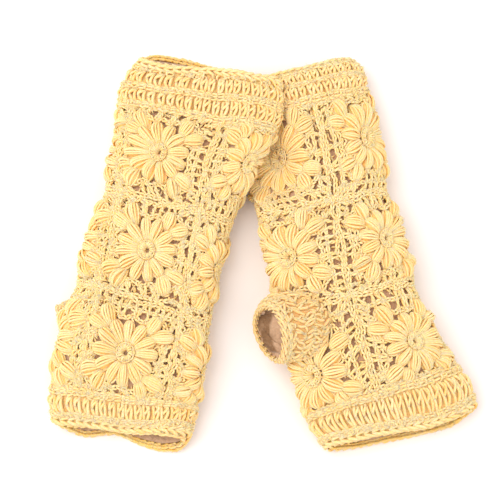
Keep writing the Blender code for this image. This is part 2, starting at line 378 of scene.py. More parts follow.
class GloveForm(Form):
    """The flattened tube of one glove."""

    def __init__(self, side: Side, stations: tuple, drape: Drape) -> None:
        """Works out the grid.

        Args:
            side: which hand the glove is for.
            stations: its rows of station, place, half width, height and turn.
            drape: how its ends and edges lie.
        """
        rows = np.array(stations, float).T * MM
        self.side = side
        self.drape = drape
        self.knots = rows[0]
        self.track = rows[1:3]
        self.half = rows[3]
        self.height = rows[4]
        self.turn = rows[5] / ROUND
        self.length = float(rows[0][-1])
        self.depths = np.array([-4.0, -2.0, 0.0, 2.0, 4.0, 6.0, 8.0]) * MM
        self.alongs = np.arange(-8.0, self.length / MM + 8.0, 1.5) * MM
        self.places = np.stack([self._layer(d) for d in self.depths])

    def frame(self, v: Array) -> tuple[Array, Array]:
        """The middle line, carried straight on past both ends.

        Args:
            v: stations.
        Returns:
            Its places and directions there.
        """
        step = 1.0 * MM
        held = np.clip(v, step, self.length - step)
        ahead = np.stack([spline(self.knots, t, held + step) for t in self.track], -1)
        behind = np.stack([spline(self.knots, t, held - step) for t in self.track], -1)
        way = unit(ahead - behind)
        at = np.stack([spline(self.knots, t, held) for t in self.track], -1) + SHIFT[:2]
        return at + way * (v - held)[..., None], way

    def outline(self, v: float, depth: float) -> tuple[Array, Array, Array]:
        """The section at a station.

        Args:
            v: the station.
            depth: depth under the outer face.
        Returns:
            Sideways places, heights, and the run along it from the top.
        """
        theta = np.linspace(0, TURN, 721)
        px = np.sign(np.sin(theta)) * np.abs(np.sin(theta)) ** (2 / EDGE_POWER)
        pz = np.sign(np.cos(theta)) * np.abs(np.cos(theta)) ** (2 / EDGE_POWER)
        low = -1 + 2 * FLAT
        pz = (np.maximum(pz, low) - low) / (1 - low)
        at = np.array([v])
        sx = (spline(self.knots, self.half, at)[0] - depth) * px
        sz = (spline(self.knots, self.height, at)[0] - 2 * depth) * pz
        run = np.concatenate([[0], np.cumsum(np.hypot(np.diff(sx), np.diff(sz)))])
        return sx, sz + depth, run

    def _layer(self, depth: float) -> Array:
        """The grid's places at one depth.

        Args:
            depth: depth under the outer face.
        Returns:
            Stations by points round by three.
        """
        around = np.arange(256) / 256
        rows = []
        for v in self.alongs:
            sx, sz, run = self.outline(float(v), depth)
            at = (around + spline(self.knots, self.turn, np.array([v]))[0]) % 1.0 * run[-1]
            side = np.interp(at, run, sx)
            up = np.interp(at, run, sz)
            centre, way = self.frame(np.array([v]))
            x = centre[0, 0] - way[0, 1] * side
            y = centre[0, 1] + way[0, 0] * side
            tall = spline(self.knots, self.height, np.array([v]))[0]
            low, high = lean(self.side, x, y, np.full_like(x, tall))
            across = side / spline(self.knots, self.half, np.array([v]))[0]
            z = low + up / tall * (high - low) * self.drape.kept(v, self.length, across)
            along, aside = self.drape.shift(v, self.length, across, up / tall)
            x = x + way[0, 0] * along - way[0, 1] * aside
            y = y + way[0, 1] * along + way[0, 0] * aside
            rows.append(np.stack([x, y, z], -1))
        return np.array(rows)

    def round_at(self, v: float) -> float:
        """Length once round the outer face at a station."""
        return float(self.outline(v, 0.0)[2][-1])


class SleeveForm(Form):
    """The short sleeve for the thumb, from a ring on the glove to its own rim. Along runs from 0 to 1."""

    def __init__(self, glove: GloveForm, spec: ThumbSpec) -> None:
        """Works out the grid.

        Args:
            glove: the form of the glove that it grows from.
            spec: where its foot and its rim lie.
        """
        self.glove = glove
        self.spec = spec
        self.v = spec.along * MM
        self.round = glove.round_at(self.v)
        turn = float(spline(glove.knots, glove.turn, np.array([self.v]))[0])
        sign = -1 if spec.under else 1
        self.u = spec.around * MM * sign / self.round - turn + (0.5 if spec.under else 0.0)
        self.depths = np.arange(-3.0, 6.1, 1.5) * MM
        self.alongs = np.linspace(-0.15, 1.08, 42)
        self.places = np.stack([self._layer(d) for d in self.depths])

    def _layer(self, depth: float) -> Array:
        """The grid's places at one depth.

        Args:
            depth: depth under the sleeve's outer face.
        Returns:
            Places along by points round by three.
        """
        s = self.spec
        a = np.arange(128) / 128 * TURN
        ru, rv = (r * MM - depth for r in s.radii)
        base = self.glove.lay(self.u + ru * np.sin(a) / self.round, self.v + rv * np.cos(a),
                              np.full(128, -0.6 * MM))
        lid = self.glove.lay(np.full(2, self.u), np.full(2, self.v), np.array([-2 * MM, 0.0]))
        out = unit(lid[0] - lid[1])
        normal = unit(np.array(s.normal))
        major = np.array(s.major)
        minor = np.array([0.0, 0.0, 1.0]) if s.under else np.cross(normal, major)
        r1, r2 = (max(r * MM - depth, 0.5 * MM) for r in s.rim_radii)
        gather = s.gather * MM * np.clip(-np.cos(a), 0, 1) ** 2
        rim = (np.array(s.rim) * MM + SHIFT + np.outer(np.cos(a) * r1 + gather, major)
               + np.outer(np.sign(np.sin(a)) * np.abs(np.sin(a)) ** s.almond * r2, minor))
        gap = np.linalg.norm(rim - base, axis=1)[:, None]
        pull = np.minimum(gap * s.base_share, s.base_pull * MM) * out
        push = np.minimum(gap * 1.2, s.rim_pull * MM) * normal + np.outer(gather * 4.6, major)
        t = np.clip(self.alongs, 0, 1)[:, None, None]
        body = ((2 * t**3 - 3 * t**2 + 1) * base + (t**3 - 2 * t**2 + t) * pull
                + (3 * t**2 - 2 * t**3) * rim + (t**3 - t**2) * push)
        past = np.maximum(self.alongs - 1, 0)[:, None, None]
        before = np.minimum(self.alongs, 0)[:, None, None]
        return body + past * 26 * MM * normal + before * 20 * MM * out


def soften(z: Array) -> Array:
    """Heights that settle on the floor instead of passing through it.

    Args:
        z: heights.
    Returns:
        The settled heights.
    """
    soft = FLOOR_LEAST + (FLOOR_SOFT - FLOOR_LEAST) * np.exp(
        np.minimum(z - FLOOR_SOFT, 0) / (FLOOR_SOFT - FLOOR_LEAST))
    return np.where(z < FLOOR_SOFT, soft, z)


class YarnBag:
    """Collects swept strands of yarn and makes one mesh of them."""

    def __init__(self, seed: int, fibres: float = 0.16) -> None:
        """Starts an empty bag.

        Args:
            seed: for the loose fibres.
            fibres: loose fibres for each point of a strand.
        """
        self.places: list[Array] = []
        self.quads: list[Array] = []
        self.marks: list[Array] = []
        self.tones: list[Array] = []
        self.loose: list[Array] = []
        self.fibres = fibres
        self.rng = np.random.default_rng(seed)
        self.count = 0

    def add(self, form: Form, paths: Array, radius: float, sides: int, tone: Array) -> None:
        """Sweeps a batch of strands with the same number of points.

        Args:
            form: the surface they lie on.
            paths: strands by points by (turns around, place along, height over the fleece).
            radius: yarn radius.
            sides: corners of the strand's section.
            tone: shade from 0 to 1 for each strand.
        """
        if not len(paths):
            return
        world, out = form.place(paths[..., 0], paths[..., 1], paths[..., 2])
        self.sweep(world, out, radius, sides, tone)

    def sweep(self, world: Array, out: Array, radius: float, sides: int, tone: Array | float) -> None:
        """Sweeps strands given by world places and outward directions, thinned at both ends.

        Args:
            world: strands by points by three.
            out: outward directions, alike.
            radius: yarn radius.
            sides: corners of the strand's section.
            tone: shade from 0 to 1, one for all or one for each strand.
        """
        strands, points, _ = world.shape
        thick = np.full((strands, points), float(radius))
        thick[:, [0, -1]] *= END_SHARE
        world = world.copy()
        world[..., 2] = soften(world[..., 2])
        way = unit(np.gradient(world, axis=1))
        across = unit(np.cross(way, out))
        lift = np.cross(across, way)
        angle = np.arange(sides) / sides * TURN
        ring = (world[:, :, None] + thick[:, :, None, None]
                * (across[:, :, None] * np.cos(angle)[:, None] + lift[:, :, None] * np.sin(angle)[:, None]))
        ring[..., 2] = np.maximum(ring[..., 2], 0.05 * MM)
        self._nap(world, ring)
        i, p, k = np.meshgrid(np.arange(strands), np.arange(points - 1), np.arange(sides), indexing="ij")
        k2 = (k + 1) % sides
        start = self.count + (i * points + p) * sides
        quads = np.stack([start + k, start + k2, start + sides + k2, start + sides + k], -1)
        run = np.zeros((strands, points))
        run[:, 1:] = np.cumsum(np.linalg.norm(np.diff(world, axis=1), axis=-1), axis=1)
        run /= MM
        a0, a1 = run[:, :-1, None], run[:, 1:, None]
        ones = np.ones_like(k, float)
        corners = ((a0, 0), (a0, 1), (a1, 1), (a1, 0))
        marks = np.stack([np.stack([a * ones, (k + more) / sides], -1) for a, more in corners], 3)
        self.places.append(ring.reshape(-1, 3))
        self.quads.append(quads.reshape(-1, 4))
        self.marks.append(marks.reshape(-1, 2))
        tone = np.broadcast_to(np.asarray(tone, float).reshape(-1, 1), (strands, points * sides))
        self.tones.append(tone.reshape(-1))
        self.count += strands * points * sides

    def _nap(self, world: Array, ring: Array) -> None:
        """Starts a few loose fibres on the strands just swept.

        Args:
            world: their places.
            ring: the corners of their sections.
        """
        strands, points, sides, _ = ring.shape
        if sides <= 3:
            return
        n = int(strands * points * self.fibres)
        i, p, k = (self.rng.integers(0, top, n) for top in (strands, points, sides))
        foot = ring[i, p, k]
        away = unit(foot - world[i, p])
        away = unit(away + self.rng.normal(0, 0.55, (n, 3)))
        bend = self.rng.normal(0, 0.35, (n, 3))
        length = self.rng.uniform(0.9, 2.6, (n, 1)) * MM
        self.loose.append(np.stack([foot, foot + 0.5 * length * away, foot + length * unit(away + bend)], 1))

    def sheet(self, form: Form, laid: Array, tone: float, strands: float) -> None:
        """Adds a smooth sheet given as a grid of (turns around, place along, height) on a form.

        Args:
            form: the surface it lies on.
            laid: rows by points by three.
            tone: its shade from 0 to 1.
            strands: how many yarns it stands for side by side.
        """
        world, _ = form.place(laid[..., 0], laid[..., 1], laid[..., 2])
        world[..., 2] = soften(world[..., 2])
        rows, points, _ = world.shape
        r, p = np.meshgrid(np.arange(rows - 1), np.arange(points - 1), indexing="ij")
        at = self.count + r * points + p
        quads = np.stack([at, at + 1, at + points + 1, at + points], -1)
        across = strands / rows
        corners = ((0, 0), (1, 0), (1, 1), (0, 1))
        marks = np.stack([np.stack([(p + i) * CORE_STEP, (r + j) * across], -1) for i, j in corners], 2)
        self.places.append(world.reshape(-1, 3))
        self.quads.append(quads.reshape(-1, 4))
        self.marks.append(marks.reshape(-1, 2))
        self.tones.append(np.full(rows * points, tone))
        self.count += rows * points

    def make(self, name: str, finish: Material) -> bpy.types.Object:
        """Makes the mesh object.

        Args:
            name: the object's name.
            finish: its material.
        Returns:
            The object, linked to the scene.
        """
        paths = np.concatenate(self.loose)
        out = unit(np.cross(paths[:, 2] - paths[:, 0], self.rng.normal(0, 1, (len(paths), 3))))
        self.sweep(paths, np.repeat(out[:, None], 3, 1), FIBRE, 3, 0.9)
        return make_mesh(name, np.concatenate(self.places), np.concatenate(self.quads), finish,
                         np.concatenate(self.marks), np.concatenate(self.tones))


def make_mesh(name: str, places: Array, quads: Array, finish: Material,
              marks: Array | None = None, tones: Array | None = None) -> bpy.types.Object:
    """Makes a smooth mesh of quads.

    Args:
        name: the object's name.
        places: one row of three for each vertex.
        quads: four vertex numbers for each face.
        finish: its material.
        marks: a flat coordinate for each face corner.
        tones: a shade from 0 to 1 for each vertex.
    Returns:
        The object, linked to the scene.
    """
    mesh = bpy.data.meshes.new(name)
    mesh.vertices.add(len(places))
    mesh.vertices.foreach_set("co", places.astype(np.float32).ravel())
    mesh.loops.add(quads.size)
    mesh.loops.foreach_set("vertex_index", quads.astype(np.int32).ravel())
    mesh.polygons.add(len(quads))
    mesh.polygons.foreach_set("loop_start", np.arange(0, quads.size, 4, dtype=np.int32))
    mesh.update(calc_edges=True)
    mesh.shade_smooth()
    if marks is not None:
        layer = mesh.uv_layers.new(name="Yarn")
        layer.data.foreach_set("uv", marks.astype(np.float32).ravel())
    if tones is not None:
        layer = mesh.attributes.new("tone", "FLOAT", "POINT")
        layer.data.foreach_set("value", tones.astype(np.float32))
    mesh.materials.append(finish)
    thing = bpy.data.objects.new(name, mesh)
    bpy.context.scene.collection.objects.link(thing)
    return thing


@dataclass
class Patch:
    """A flat working area in millimetres, laid on a form at a centre with its own scale."""

    form: Form
    u: float
    v: float
    across: float
    along: float = MM
    turn: float = 0.0

    def lay(self, flat: Array) -> Array:
        """Takes flat places to the form.

        Args:
            flat: points by (across, along, height) in millimetres.
        Returns:
            Points by (turns around, place along, height).
        """
        c, s = math.cos(self.turn), math.sin(self.turn)
        a = flat[..., 0] * c - flat[..., 1] * s
        b = flat[..., 0] * s + flat[..., 1] * c
        return np.stack([self.u + a * self.across, self.v + b * self.along, flat[..., 2] * MM], -1)


@dataclass
class Work:
    """Stitches in hand: the bag they go to, the flat patch they are worked on and the opening they keep clear."""

    bag: YarnBag
    patch: Patch
    rng: Rng
    skip: Oval | None = None

    def put(self, strands: Array, radius: float, sides: int = 5, shade: float = 0.5) -> None:
        """Lays flat strands on the form, as put_laid does."""
        self.put_laid(self.patch.lay(strands), radius, sides, shade)

    def put_laid(self, laid: Array, radius: float, sides: int = 5, shade: float = 0.5) -> None:
        """Adds strands given on the form, and gathers those that cross the opening at its edge.

        Args:
            laid: strands by points by (turns around, place along, height).
            radius: yarn radius in millimetres.
            sides: corners of the strand's section.
            shade: their middle shade from 0 to 1.
        """
        if self.skip is not None and len(laid):
            u, v = self.skip[:2]
            laid = laid[(oval(laid, self.skip) < 0.8).mean(axis=1) < 0.4]
            push = np.maximum(1.0 / np.maximum(oval(laid, self.skip), 0.05), 1.0)
            laid[..., 0] = u + (laid[..., 0] - u) * push
            laid[..., 1] = v + (laid[..., 1] - v) * push
        tone = np.clip(shade + self.rng.normal(0, TONE_SPREAD, len(laid)), 0, 1)
        self.bag.add(self.patch.form, laid, radius * MM, sides, tone)


def oval(laid: Array, skip: Oval) -> Array:
    """How far out points lie from an oval's centre, 1 being on its edge."""
    return np.hypot((laid[..., 0] - skip[0]) / skip[2], (laid[..., 1] - skip[1]) / skip[3])


def along_path(path: Array, pitch: float, closed: bool) -> tuple[Array, Array, float]:
    """Even stations along a flat path.

    Args:
        path: points by (across, along, height) in millimetres.
        pitch: wanted spacing.
        closed: whether it runs round to its start.
    Returns:
        Places, directions and the real spacing.
    """
    if closed:
        path = np.concatenate([path, path[:1]])
    steps = np.linalg.norm(np.diff(path[:, :2], axis=0), axis=1)
    run = np.concatenate([[0], np.cumsum(steps)])
    count = max(2, int(round(run[-1] / pitch)))
    real = run[-1] / count
    at = np.arange(count) * real
    here = np.stack([np.interp(at, run, path[:, k]) for k in range(3)], -1)
    ahead = np.stack([np.interp(at + 0.8 * real, run, path[:, k]) for k in range(3)], -1)
    way = unit(ahead[:, :2] - here[:, :2])
    return here, way, real


# A link's strand: shares of the pitch along, of the half width aside and of the rise, for a plain chain ...
LINK_T = np.array([-0.22, 0.10, 0.42, 0.74, 1.02, 1.26])
LINK_W = np.array([0.10, 0.72, 1.00, 0.86, 0.42, 0.06])
LINK_H = np.array([-0.75, 0.15, 0.75, 1.00, 0.70, -0.20])
# ... and for the open links of a rim.
RIM_T = np.array([-0.25, 0.05, 0.35, 0.70, 1.05, 1.35])
RIM_W = np.array([0.02, 0.25, 0.62, 0.92, 1.02, 0.85])
RIM_H = np.array([-0.10, 0.85, 1.05, 0.70, 0.05, -0.80])


def braid(path: Array, pitch: float, width: float, rise: float, rng: Rng, closed: bool = True,
          open_links: bool = False) -> Array:
    """Chain stitches along a flat path: a left and a right strand for every link.

    Args:
        path: points by (across, along, height) in millimetres.
        pitch: length of a link.
        width: half width of a link.
        rise: how far a link rises over its ends.
        rng: random source.
        closed: whether the chain runs round to its start.
        open_links: whether each link lies as an open V with the next one over it.
    Returns:
        Strands by points by (across, along, height).
    """
    link_t, link_w, link_h = (RIM_T, RIM_W, RIM_H) if open_links else (LINK_T, LINK_W, LINK_H)
    here, way, real = along_path(path, pitch, closed)
    side = np.stack([-way[:, 1], way[:, 0]], -1)
    n = len(here)
    out = []
    for sign in (1, -1):
        t = link_t[None] * real + rng.normal(0, 0.05, (n, 6)) * real
        w = sign * link_w[None] * width * (1 + rng.normal(0, 0.10, (n, 1)))
        h = here[:, 2:3] + link_h[None] * rise * (1 + rng.normal(0, 0.12, (n, 1)))
        if sign < 0:
            h = h - 0.18 * rise
        xy = here[:, None, :2] + way[:, None] * t[..., None] + side[:, None] * w[..., None]
        out.append(np.concatenate([xy, h[..., None]], -1))
    return np.concatenate(out)


@dataclass(frozen=True)
class Puff:
    """A puffed stitch: long loops gathered at both ends and bulging between, in millimetres."""

    start: Array
    end: Array
    width: float
    rise: float
    count: int
    base: float = 1.1
    narrow: float = 0.36
    fullest: float = 0.72

    def _shape(self, t: Array, s: Array) -> tuple[Array, Array, Array]:
        """The puff's outline.

        Args:
            t: shares along.
            s: shares across, from -1 to 1.
        Returns:
            Half width, rise along, and rise across, the last two as shares.
        """
        arc = np.sin(math.pi * t ** (1 / self.fullest))
        bell = arc ** 0.5
        spread = self.width * (self.narrow * (1 - t) ** 2 + 0.24 * t**4 + (1 - 0.05 * t) * arc ** 0.68)
        dome = np.sqrt(np.clip(1 - (0.93 * s) ** 2, 0.02, 1))
        return spread, bell, dome

    def strands(self, rng: Rng) -> Array:
        """The loops that show.

        Args:
            rng: random source.
        Returns:
            Strands by points by (across, along, height).
        """
        t = np.linspace(0, 1, 11)[None]
        s = np.linspace(-1, 1, self.count)[:, None] + rng.normal(0, 0.05, (self.count, 1))
        spread, bell, dome = self._shape(t, s)
        sway = rng.normal(0, 0.14, (self.count, 1)) * np.sin(math.pi * t)
        h = self.base + (self.rise - self.base) * bell * dome + rng.normal(0, 0.16, (self.count, 1)) * bell
        return self._lay(t, s * spread + sway, h)

    def core(self) -> Array:
        """The body under the loops.

        Returns:
            A grid by (across, along, height).
        """
        t = np.linspace(0.03, 0.97, 9)[None]
        s = np.linspace(-1.06, 1.06, 7)[:, None]
        spread, bell, dome = self._shape(t, s)
        h = self.base - 0.6 + (self.rise - self.base - 0.15) * bell * dome
        return self._lay(t, s * spread, h)

    def _lay(self, t: Array, aside: Array, h: Array) -> Array:
        """Puts the puff together.

        Args:
            t: shares along.
            aside: distances aside.
            h: heights.
        Returns:
            Strands by points by (across, along, height).
        """
        reach = self.end - self.start
        way = unit(reach)
        side = np.array([-way[1], way[0]])
        xy = self.start + reach * (t + 0 * aside)[..., None] + side * aside[..., None]
        return np.concatenate([xy, h[..., None]], -1)


def twist(start: Array, end: Array, rng: Rng) -> Array:
    """Tall stitches as two strands wound round each other.

    Args:
        start: flat foot of each stitch.
        end: flat head of each stitch.
        rng: random source.
    Returns:
        Strands by points by (across, along, height).
    """
    turns, wide, low, high = 1.5, 0.62, 1.2, 3.1
    n = len(start)
    t = np.linspace(0, 1, 9)[None]
    way = unit(end - start)
    side = np.stack([-way[:, 1], way[:, 0]], -1)
    phase = rng.uniform(0, TURN, (n, 1))
    bow = rng.normal(0, 0.45, (n, 1)) * np.sin(math.pi * t)
    out = []
    for half in (0.0, math.pi):
        a = phase + half + t * turns * TURN
        w = wide * np.cos(a) + bow
        h = low + (high - low) * np.sin(math.pi * t) ** 0.5 + wide * 0.9 * np.sin(a)
        xy = start[:, None] + (end - start)[:, None] * t[..., None] + side[:, None] * w[..., None]
        out.append(np.concatenate([xy, h[..., None]], -1))
    return np.concatenate(out)


def knot_bits(at: Array, rng: Rng) -> Array:
    """Short bent strands over the places where stitches meet.

    Args:
        at: flat places.
        rng: random source.
    Returns:
        Strands by points by (across, along, height).
    """
    n = len(at)
    t = np.linspace(-1, 1, 5)[None]
    a = rng.uniform(0, math.pi, (n, 1))
    bend = rng.normal(0, 0.9, (n, 1)) * (1 - t**2)
    reach = 1.6 + rng.normal(0, 0.3, (n, 1))
    x = at[:, :1] + reach * t * np.cos(a) - bend * np.sin(a)
    y = at[:, 1:2] + reach * t * np.sin(a) + bend * np.cos(a)
    h = 1.9 + 1.6 * (1 - t**2) + rng.normal(0, 0.2, (n, 1))
    return np.stack([x, y, h], -1)


@dataclass
class FlowerSquare:
    """One separately worked flower square: ring, twelve puffed petals, corner pairs and an openwork border."""

    half: float = 28.75
    petals: int = 12
    ring: float = 5.3
    petal_end: float = 19.3
    stretch: float = 1.11
    petal_width: float = 3.35
    petal_rise: float = 5.8
    corner_foot: float = 16.2
    corner_reach: float = 13.4
    corner_width: float = 4.15
    corner_rise: float = 6.0
    centre: tuple[float, float] = (0.0, 0.0)

    def stitch(self, work: Work) -> None:
        """Works the square, with its petals and corner puffs first and its border last.

        Args:
            work: where its strands go.
        """
        rng = work.rng
        centre = np.array(self.centre)
        self._ring(work)
        turned = rng.normal(0, 0.07) + math.pi / self.petals
        for k in range(self.petals):
            a = turned + TURN * k / self.petals + rng.normal(0, 0.03)
            way = np.array([self.stretch * math.cos(a), math.sin(a)])
            outer = self.petal_end + rng.normal(0, 0.45)
            shape = Puff(centre + way * (self.ring - 0.8), centre + way * outer,
                         self.petal_width + rng.normal(0, 0.16), self.petal_rise + rng.normal(0, 0.3), 6)
            self._puff(work, shape)
        for j in range(4):
            corner = math.pi / 4 + j * math.pi / 2 + rng.normal(0, 0.05)
            foot = centre + self.corner_foot * np.array([self.stretch * math.cos(corner), math.sin(corner)])
            for turn in (-1, 1):
                a = corner + turn * (0.44 + rng.normal(0, 0.05))
                reach = self.corner_reach + rng.normal(0, 0.6)
                side = np.array([-math.sin(corner), math.cos(corner)]) * turn * 1.2
                end = foot + side + reach * np.array([self.stretch * math.cos(a), math.sin(a)])
                end = np.clip(end, -self.half + 1.0, self.half - 1.0)
                shape = Puff(foot + side, end, self.corner_width + rng.normal(0, 0.2),
                             self.corner_rise + rng.normal(0, 0.3), 7, 1.3, 0.28, 0.8)
                self._puff(work, shape)
        self._border(work)
        self._carried(work)

    @staticmethod
    def _carried(work: Work) -> None:
        """Yarn carried low behind the openwork.

        Args:
            work: where its strands go.
        """
        n, rng = 66, work.rng
        side = rng.integers(0, 4, n)
        along = rng.uniform(-26.5, 26.5, n)
        depth = 27.6 - 6.6 * rng.random(n) ** 1.3
        a = rng.uniform(0, math.pi, n)
        t = np.linspace(-1, 1, 7)[None]
        bend = rng.normal(0, 1.3, (n, 1)) * (1 - t**2)
        reach = rng.uniform(2.8, 5.2, n)[:, None]
        turn = side * math.pi / 2
        x = depth * np.cos(turn) - along * np.sin(turn)
        y = depth * np.sin(turn) + along * np.cos(turn)
        x = x[:, None] + reach * t * np.cos(a)[:, None] - bend * np.sin(a)[:, None]
        y = y[:, None] + reach * t * np.sin(a)[:, None] + bend * np.cos(a)[:, None]
        h = 1.0 + 0.5 * rng.random((n, 1)) + 0 * x
        strands = np.stack([np.clip(x, -28.4, 28.4), np.clip(y, -28.4, 28.4), h], -1)
        work.put(strands, 0.66, 4, 0.35)

    @staticmethod
    def _puff(work: Work, shape: Puff) -> None:
        """One puffed stitch: its strands over a plump core.

        Args:
            work: where it goes.
            shape: its place and sizes.
        """
        work.put(shape.strands(work.rng), PUFF_YARN, 6)
        core = work.patch.lay(shape.core())
        if work.skip is None or oval(core, work.skip).min() > 0.95:
            work.bag.sheet(work.patch.form, core, 0.42, shape.count * 1.0)

    def _ring(self, work: Work) -> None:
        """Short stitches arched over the ring round the centre hole.

        Args:
            work: where its strands go.
        """
        n, rng = 18, work.rng
        turns = (np.arange(n) + rng.normal(0, 0.12, n)) / n * TURN
        t = np.linspace(0, 1, 7)[None]
        r = 1.5 + 4.5 * t + rng.normal(0, 0.12, (n, 1))
        h = 1.0 + 3.1 * np.sin(math.pi * t) ** 0.7 + rng.normal(0, 0.15, (n, 1))
        a = turns[:, None] + 0.3 * (t - 0.5)
        arcs = np.stack([r * np.cos(a), r * np.sin(a), h + 0 * a], -1)
        arcs[..., :2] += self.centre
        work.put(arcs, 0.62)
        around = np.linspace(0, TURN, 40, endpoint=False)
        loop = np.stack([4.9 * np.cos(around), 4.9 * np.sin(around), np.full(40, 3.2)], -1)
        loop[:, :2] += self.centre
        work.put(braid(loop, 2.7, 0.7, 0.7, rng), 0.5)

    def _border(self, work: Work) -> None:
        """Chain round the petals and corner puffs, tall stitches outwards from it, and the joining edge.

        Args:
            work: where its strands go.
        """
        rng = work.rng
        cx, cy = self.centre
        side_angle = np.radians([0, 12, 22, 31, 38, 45])
        reach = np.array([20.4, 20.2, 21.4, 26.6, 28.6, 26.8])
        a = np.linspace(0, TURN, 160, endpoint=False)
        folded = np.abs((a + math.pi / 4) % (math.pi / 2) - math.pi / 4)
        r = np.interp(folded, side_angle, reach) + 1.0 * np.sin(13 * a + rng.uniform(0, 6)) * (folded < 0.45)
        loop = np.stack([self.stretch * r * np.cos(a) + cx, r * np.sin(a) + cy, np.full_like(a, 2.0)], -1)
        edge_at = self.half - 1.5
        loop[:, :2] = np.clip(loop[:, :2], -edge_at, edge_at)
        work.put(braid(loop, 3.2, 1.05, 1.1, rng), MESH_YARN)
        h = self.half - 1.15
        for j in range(4):
            c, s = round(math.cos(j * math.pi / 2)), round(math.sin(j * math.pi / 2))
            turn = np.array([[c, s], [-s, c]])
            off_out = cx * c + cy * s
            off_side = -cx * s + cy * c
            feet = []
            heads = []
            for place in (-24.5, -20.5, -16.5, -11.0, -7.5, -1.8, 2.4, 8.0, 12.2, 17.2, 21.0, 24.6):
                p = place + rng.normal(0, 1.3)
                inner = np.interp(abs(p), [0, 8, 12, 16, 24], [19.8, 18.8, 19.8, 23.0, 25.4]) + off_out
                feet.append((min(inner, h - 1.5), p * 0.92 + off_side * 0.7 + rng.normal(0, 1.5)))
                heads.append((h - 0.2 + rng.normal(0, 0.5), p + rng.normal(0, 1.8)))
            feet = np.array(feet) @ turn
            heads = np.array(heads) @ turn
            work.put(twist(feet, heads, rng), MESH_YARN)
            knots = np.concatenate([feet, heads, (feet + heads) / 2 + rng.normal(0, 0.6, feet.shape)])
            work.put(knot_bits(knots, rng), MESH_YARN * 0.92)
            line = np.linspace(-self.half, self.half, 30)
            wave = np.interp(np.arange(30), np.arange(0, 31, 2), rng.normal(0, 1.0, 16)) + rng.normal(0, 0.2, 30)
            wave = np.minimum(wave, 0.9)
            edge = np.stack([h + wave, line, np.full(30, 2.3)], -1)
            edge[:, :2] = edge[:, :2] @ turn
            work.put(braid(edge, 3.3, 0.95, 1.2, rng, closed=False), MESH_YARN)
            if off_out < -1.5:
                middle = (h + 20.0 + off_out) / 2
                line = np.stack([middle + rng.normal(0, 0.5, 16), np.linspace(-22, 22, 16), np.full(16, 2.3)], -1)
                line[:, :2] = line[:, :2] @ turn
                work.put(braid(line, 3.4, 0.85, 1.0, rng, closed=False), MESH_YARN)


